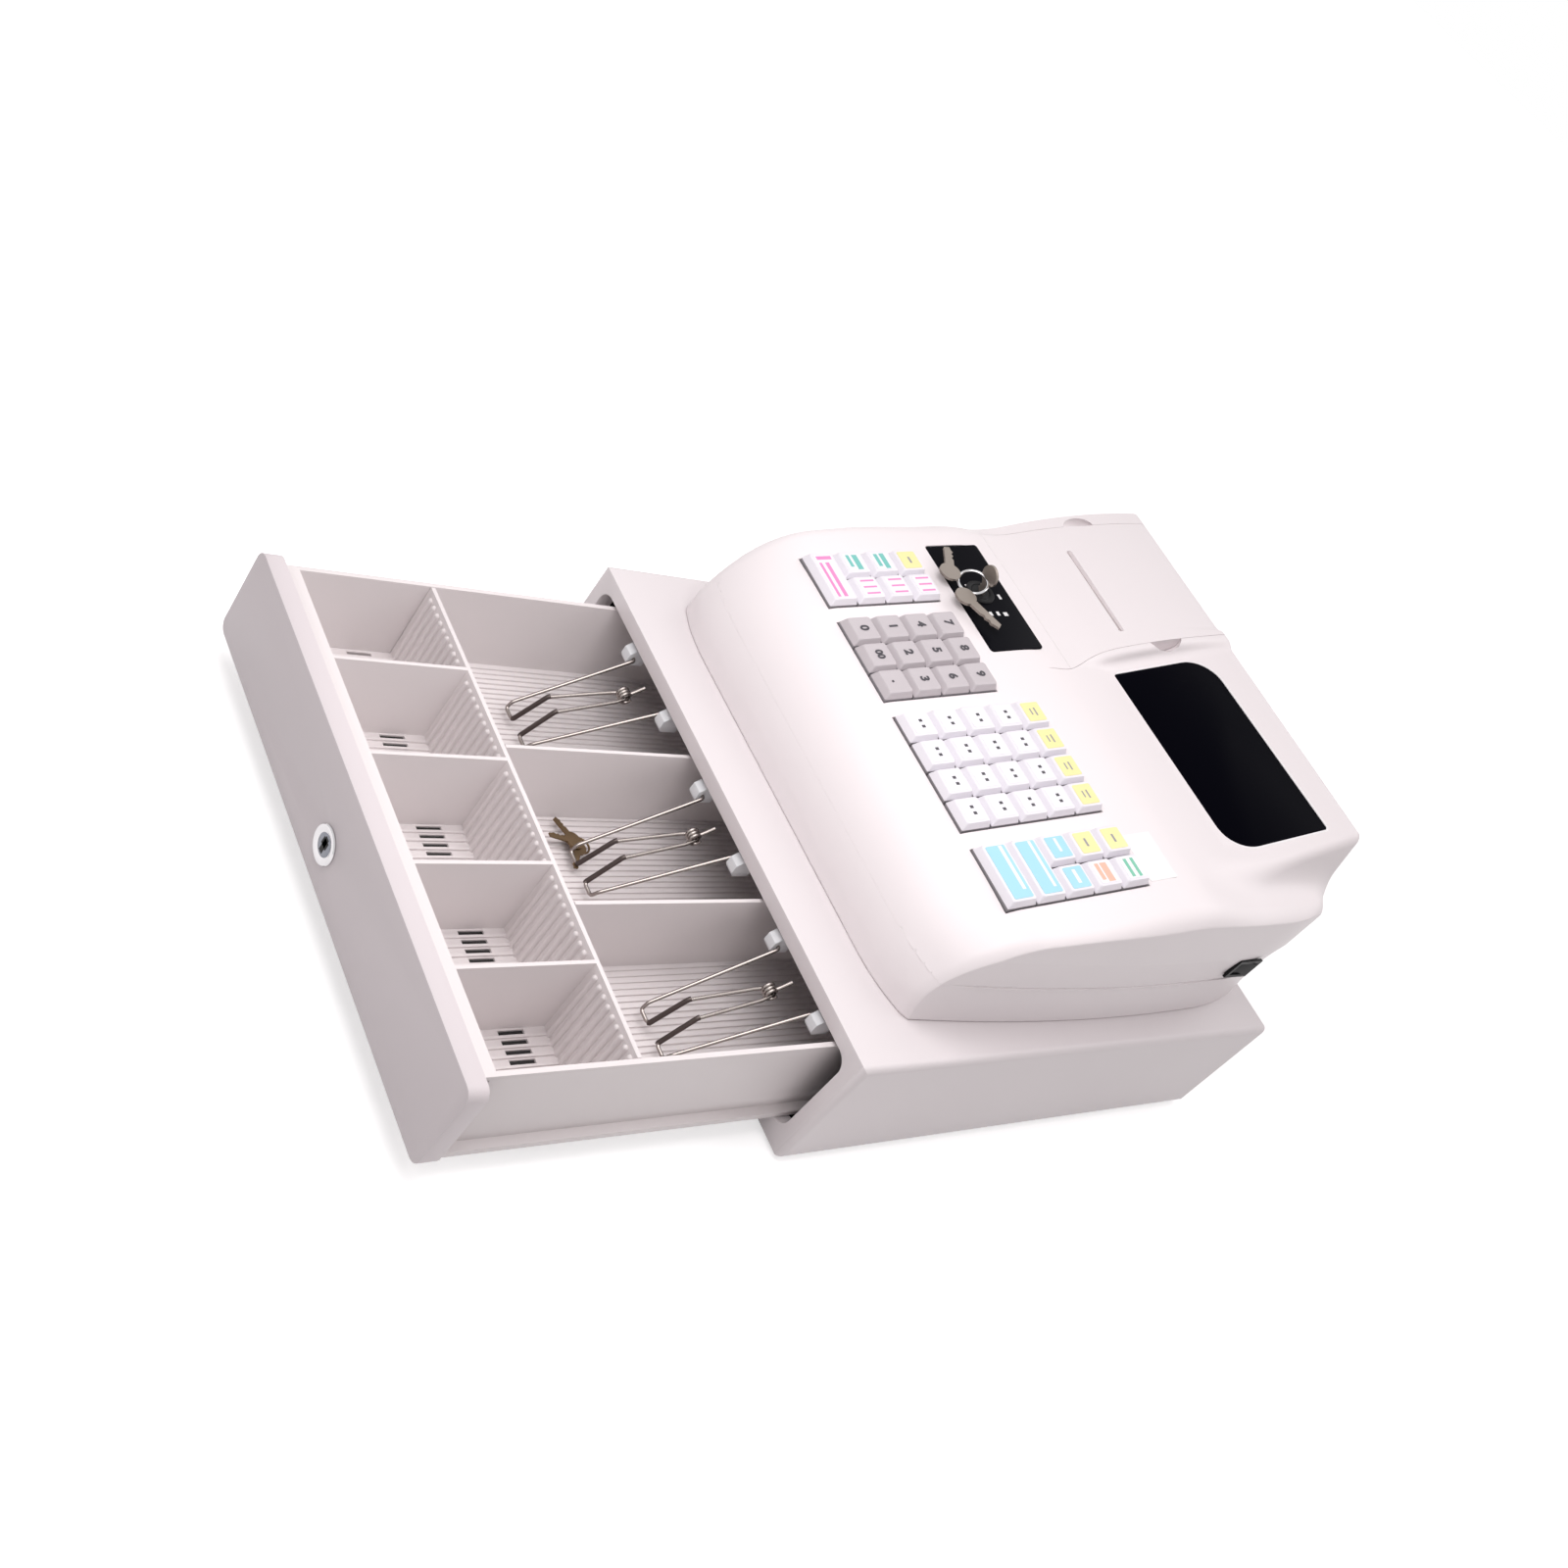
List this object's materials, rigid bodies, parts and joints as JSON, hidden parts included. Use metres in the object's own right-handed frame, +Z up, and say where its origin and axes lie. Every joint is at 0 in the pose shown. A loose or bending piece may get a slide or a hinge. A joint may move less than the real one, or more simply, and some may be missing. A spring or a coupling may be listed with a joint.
{
  "type": "cash_register",
  "caption": "Electronic cash register with a sprung keyboard, mode lock, receipt printer and display above an open drawer of coin and note bays",
  "frame": {"origin": "Centre of the footprint at the underside of the feet, with the drawer open", "axes": "X runs left to right for the operator, Y runs from the open drawer's front to the back, Z is up"},
  "size_m": [0.33, 0.5486, 0.2005],
  "materials": {
    "housing_plastic": "warm off-white moulded plastic, fine satin texture",
    "case_plastic": "warm off-white moulded plastic, smooth satin",
    "drawer_front_plastic": "off-white moulded plastic, satin",
    "tray_plastic": "light grey-beige moulded plastic",
    "feet_rubber": "black rubber",
    "zinc_steel": "zinc-plated sheet steel",
    "clip_block_plastic": "white plastic, slightly glossy",
    "clip_wire": "drawn steel wire, nickel plated",
    "lock_chrome": "bright chrome plating",
    "circuit_board": "green solder resist",
    "black_gloss": "smoked black acrylic, polished",
    "key_nickel": "nickel-plated brass, worn",
    "roller_rubber": "black platen rubber",
    "paper": null,
    "switch_black": "black moulded plastic",
    "key_white": "clear cap over a white label",
    "key_grey": "grey moulded cap with a printed figure",
    "key_pink": "clear cap over a pink label",
    "key_teal": "clear cap over a teal label",
    "key_yellow": "clear cap over a yellow label",
    "key_blue": "clear cap over a light blue label",
    "key_orange": "clear cap over an orange label",
    "key_green": "clear cap over a green label"
  },
  "bodies": {
    "register": {"base_housing": "housing_plastic", "rubber_feet": "feet_rubber", "runner_rails": "zinc_steel", "latch_solenoid": "zinc_steel", "lower_case": "case_plastic", "upper_case": "case_plastic", "keyboard_base": "zinc_steel", "main_board": "circuit_board", "mode_panel": "black_gloss", "mode_lock": "lock_chrome", "printer_unit": "zinc_steel", "display_window": "black_gloss", "power_switch": "switch_black"},
    "drawer": {"drawer_front": "drawer_front_plastic", "drawer_tray": "tray_plastic", "coin_tray": "tray_plastic", "clip_rail": "clip_block_plastic", "drawer_lock": "lock_chrome"},
    "note_clip_1": {"note_clip_1": "clip_wire"},
    "note_clip_2": {"note_clip_2": "clip_wire"},
    "note_clip_3": {"note_clip_3": "clip_wire"},
    "drawer_lock_plug": {"drawer_lock_plug": "lock_chrome"},
    "drawer_rollers": {"drawer_rollers": "clip_block_plastic"},
    "latch_lever": {"latch_lever": "zinc_steel"},
    "mode_key": {"mode_key": "key_nickel"},
    "printer_cover": {"printer_cover": "case_plastic"},
    "platen_roller": {"platen_roller": "roller_rubber"},
    "paper_roll": {"paper_roll": "paper"},
    "power_rocker": {"power_rocker": "switch_black"},
    "subtotal_key": {"subtotal_key": "key_pink"},
    "side_key_2l": {"side_key_2l": "key_teal"},
    "side_key_2r": {"side_key_2r": "key_pink"},
    "side_key_3l": {"side_key_3l": "key_teal"},
    "side_key_3r": {"side_key_3r": "key_pink"},
    "side_key_4l": {"side_key_4l": "key_yellow"},
    "side_key_4r": {"side_key_4r": "key_pink"},
    "num_0": {"num_0": "key_grey"},
    "num_00": {"num_00": "key_grey"},
    "num_point": {"num_point": "key_grey"},
    "num_1": {"num_1": "key_grey"},
    "num_2": {"num_2": "key_grey"},
    "num_3": {"num_3": "key_grey"},
    "num_4": {"num_4": "key_grey"},
    "num_5": {"num_5": "key_grey"},
    "num_6": {"num_6": "key_grey"},
    "num_7": {"num_7": "key_grey"},
    "num_8": {"num_8": "key_grey"},
    "num_9": {"num_9": "key_grey"},
    "dept_column_1": {"dept_column_1": "key_white"},
    "dept_column_2": {"dept_column_2": "key_white"},
    "dept_column_3": {"dept_column_3": "key_white"},
    "dept_column_4": {"dept_column_4": "key_white"},
    "total_key": {"total_key": "key_blue"},
    "cash_key": {"cash_key": "key_blue"},
    "fn_key_3l": {"fn_key_3l": "key_blue"},
    "fn_key_3r": {"fn_key_3r": "key_blue"},
    "fn_key_4l": {"fn_key_4l": "key_yellow"},
    "fn_key_4r": {"fn_key_4r": "key_orange"},
    "fn_key_5l": {"fn_key_5l": "key_yellow"},
    "fn_key_5r": {"fn_key_5r": "key_green"}
  },
  "joints": [
    {"name": "drawer_slide", "type": "slide", "parent": "register", "child": "drawer", "axis": [0, -1, 0], "range_m": [-0.203, 0]},
    {"name": "note_clip_1_lift", "type": "hinge", "parent": "drawer", "child": "note_clip_1", "pos_m": [-0.0895, -0.06625, 0.0628], "axis": [-1, 0, 0], "range_deg": [0, 60], "stiffness_Nm_per_rad": 0.02, "springref_deg": -28.65},
    {"name": "note_clip_2_lift", "type": "hinge", "parent": "drawer", "child": "note_clip_2", "pos_m": [0.0066, -0.06625, 0.0628], "axis": [-1, 0, 0], "range_deg": [0, 60], "stiffness_Nm_per_rad": 0.02, "springref_deg": -28.65},
    {"name": "note_clip_3_lift", "type": "hinge", "parent": "drawer", "child": "note_clip_3", "pos_m": [0.1018, -0.06625, 0.0628], "axis": [-1, 0, 0], "range_deg": [0, 60], "stiffness_Nm_per_rad": 0.02, "springref_deg": -28.65},
    {"name": "drawer_lock_turn", "type": "hinge", "parent": "drawer", "child": "drawer_lock_plug", "pos_m": [0, -0.27275, 0.0356], "axis": [0, 1, 0], "range_deg": [0, 90]},
    {"name": "drawer_rollers_spin", "type": "hinge", "parent": "drawer", "child": "drawer_rollers", "pos_m": [0, -0.01775, 0.0252], "axis": [1, 0, 0], "continuous": true},
    {"name": "latch_swing", "type": "hinge", "parent": "register", "child": "latch_lever", "pos_m": [-0.008, 0.24825, 0.0325], "axis": [0, 0, 1], "range_deg": [0, 10]},
    {"name": "mode_key_turn", "type": "hinge", "parent": "register", "child": "mode_key", "pos_m": [-0.087, 0.10875, 0.16549], "axis": [0, -0.2147, 0.9767], "range_deg": [-48, 48]},
    {"name": "printer_cover_lift", "type": "hinge", "parent": "register", "child": "printer_cover", "pos_m": [-0.088, 0.26825, 0.17146], "axis": [-1, 0, 0], "range_deg": [0, 75]},
    {"name": "platen_spin", "type": "hinge", "parent": "register", "child": "platen_roller", "pos_m": [-0.0885, 0.19425, 0.16596], "axis": [1, 0, 0], "continuous": true},
    {"name": "paper_roll_spin", "type": "hinge", "parent": "register", "child": "paper_roll", "pos_m": [-0.0885, 0.22325, 0.15146], "axis": [1, 0, 0], "continuous": true},
    {"name": "power_rocker_tilt", "type": "hinge", "parent": "register", "child": "power_rocker", "pos_m": [0.14359, 0.20925, 0.12], "axis": [0, 0, 1], "range_deg": [0, 16]},
    {"name": "subtotal_key_press", "type": "slide", "parent": "register", "child": "subtotal_key", "axis": [0, 0.2147, -0.9767], "range_m": [0, 0.003], "stiffness_N_per_m": 200, "springref_m": -0.0005},
    {"name": "side_key_2l_press", "type": "slide", "parent": "register", "child": "side_key_2l", "axis": [0, 0.2147, -0.9767], "range_m": [0, 0.003], "stiffness_N_per_m": 200, "springref_m": -0.0005},
    {"name": "side_key_2r_press", "type": "slide", "parent": "register", "child": "side_key_2r", "axis": [0, 0.2147, -0.9767], "range_m": [0, 0.003], "stiffness_N_per_m": 200, "springref_m": -0.0005},
    {"name": "side_key_3l_press", "type": "slide", "parent": "register", "child": "side_key_3l", "axis": [0, 0.2147, -0.9767], "range_m": [0, 0.003], "stiffness_N_per_m": 200, "springref_m": -0.0005},
    {"name": "side_key_3r_press", "type": "slide", "parent": "register", "child": "side_key_3r", "axis": [0, 0.2147, -0.9767], "range_m": [0, 0.003], "stiffness_N_per_m": 200, "springref_m": -0.0005},
    {"name": "side_key_4l_press", "type": "slide", "parent": "register", "child": "side_key_4l", "axis": [0, 0.2147, -0.9767], "range_m": [0, 0.003], "stiffness_N_per_m": 200, "springref_m": -0.0005},
    {"name": "side_key_4r_press", "type": "slide", "parent": "register", "child": "side_key_4r", "axis": [0, 0.2147, -0.9767], "range_m": [0, 0.003], "stiffness_N_per_m": 200, "springref_m": -0.0005},
    {"name": "num_0_press", "type": "slide", "parent": "register", "child": "num_0", "axis": [0, 0.2147, -0.9767], "range_m": [0, 0.003], "stiffness_N_per_m": 200, "springref_m": -0.0005},
    {"name": "num_00_press", "type": "slide", "parent": "register", "child": "num_00", "axis": [0, 0.2147, -0.9767], "range_m": [0, 0.003], "stiffness_N_per_m": 200, "springref_m": -0.0005},
    {"name": "num_point_press", "type": "slide", "parent": "register", "child": "num_point", "axis": [0, 0.2147, -0.9767], "range_m": [0, 0.003], "stiffness_N_per_m": 200, "springref_m": -0.0005},
    {"name": "num_1_press", "type": "slide", "parent": "register", "child": "num_1", "axis": [0, 0.2147, -0.9767], "range_m": [0, 0.003], "stiffness_N_per_m": 200, "springref_m": -0.0005},
    {"name": "num_2_press", "type": "slide", "parent": "register", "child": "num_2", "axis": [0, 0.2147, -0.9767], "range_m": [0, 0.003], "stiffness_N_per_m": 200, "springref_m": -0.0005},
    {"name": "num_3_press", "type": "slide", "parent": "register", "child": "num_3", "axis": [0, 0.2147, -0.9767], "range_m": [0, 0.003], "stiffness_N_per_m": 200, "springref_m": -0.0005},
    {"name": "num_4_press", "type": "slide", "parent": "register", "child": "num_4", "axis": [0, 0.2147, -0.9767], "range_m": [0, 0.003], "stiffness_N_per_m": 200, "springref_m": -0.0005},
    {"name": "num_5_press", "type": "slide", "parent": "register", "child": "num_5", "axis": [0, 0.2147, -0.9767], "range_m": [0, 0.003], "stiffness_N_per_m": 200, "springref_m": -0.0005},
    {"name": "num_6_press", "type": "slide", "parent": "register", "child": "num_6", "axis": [0, 0.2147, -0.9767], "range_m": [0, 0.003], "stiffness_N_per_m": 200, "springref_m": -0.0005},
    {"name": "num_7_press", "type": "slide", "parent": "register", "child": "num_7", "axis": [0, 0.2147, -0.9767], "range_m": [0, 0.003], "stiffness_N_per_m": 200, "springref_m": -0.0005},
    {"name": "num_8_press", "type": "slide", "parent": "register", "child": "num_8", "axis": [0, 0.2147, -0.9767], "range_m": [0, 0.003], "stiffness_N_per_m": 200, "springref_m": -0.0005},
    {"name": "num_9_press", "type": "slide", "parent": "register", "child": "num_9", "axis": [0, 0.2147, -0.9767], "range_m": [0, 0.003], "stiffness_N_per_m": 200, "springref_m": -0.0005},
    {"name": "dept_column_1_press", "type": "slide", "parent": "register", "child": "dept_column_1", "axis": [0, 0.2147, -0.9767], "range_m": [0, 0.003], "stiffness_N_per_m": 200, "springref_m": -0.0005},
    {"name": "dept_column_2_press", "type": "slide", "parent": "register", "child": "dept_column_2", "axis": [0, 0.2147, -0.9767], "range_m": [0, 0.003], "stiffness_N_per_m": 200, "springref_m": -0.0005},
    {"name": "dept_column_3_press", "type": "slide", "parent": "register", "child": "dept_column_3", "axis": [0, 0.2147, -0.9767], "range_m": [0, 0.003], "stiffness_N_per_m": 200, "springref_m": -0.0005},
    {"name": "dept_column_4_press", "type": "slide", "parent": "register", "child": "dept_column_4", "axis": [0, 0.2147, -0.9767], "range_m": [0, 0.003], "stiffness_N_per_m": 200, "springref_m": -0.0005},
    {"name": "total_key_press", "type": "slide", "parent": "register", "child": "total_key", "axis": [0, 0.2147, -0.9767], "range_m": [0, 0.003], "stiffness_N_per_m": 200, "springref_m": -0.0005},
    {"name": "cash_key_press", "type": "slide", "parent": "register", "child": "cash_key", "axis": [0, 0.2147, -0.9767], "range_m": [0, 0.003], "stiffness_N_per_m": 200, "springref_m": -0.0005},
    {"name": "fn_key_3l_press", "type": "slide", "parent": "register", "child": "fn_key_3l", "axis": [0, 0.2147, -0.9767], "range_m": [0, 0.003], "stiffness_N_per_m": 200, "springref_m": -0.0005},
    {"name": "fn_key_3r_press", "type": "slide", "parent": "register", "child": "fn_key_3r", "axis": [0, 0.2147, -0.9767], "range_m": [0, 0.003], "stiffness_N_per_m": 200, "springref_m": -0.0005},
    {"name": "fn_key_4l_press", "type": "slide", "parent": "register", "child": "fn_key_4l", "axis": [0, 0.2147, -0.9767], "range_m": [0, 0.003], "stiffness_N_per_m": 200, "springref_m": -0.0005},
    {"name": "fn_key_4r_press", "type": "slide", "parent": "register", "child": "fn_key_4r", "axis": [0, 0.2147, -0.9767], "range_m": [0, 0.003], "stiffness_N_per_m": 200, "springref_m": -0.0005},
    {"name": "fn_key_5l_press", "type": "slide", "parent": "register", "child": "fn_key_5l", "axis": [0, 0.2147, -0.9767], "range_m": [0, 0.003], "stiffness_N_per_m": 200, "springref_m": -0.0005},
    {"name": "fn_key_5r_press", "type": "slide", "parent": "register", "child": "fn_key_5r", "axis": [0, 0.2147, -0.9767], "range_m": [0, 0.003], "stiffness_N_per_m": 200, "springref_m": -0.0005}
  ]
}
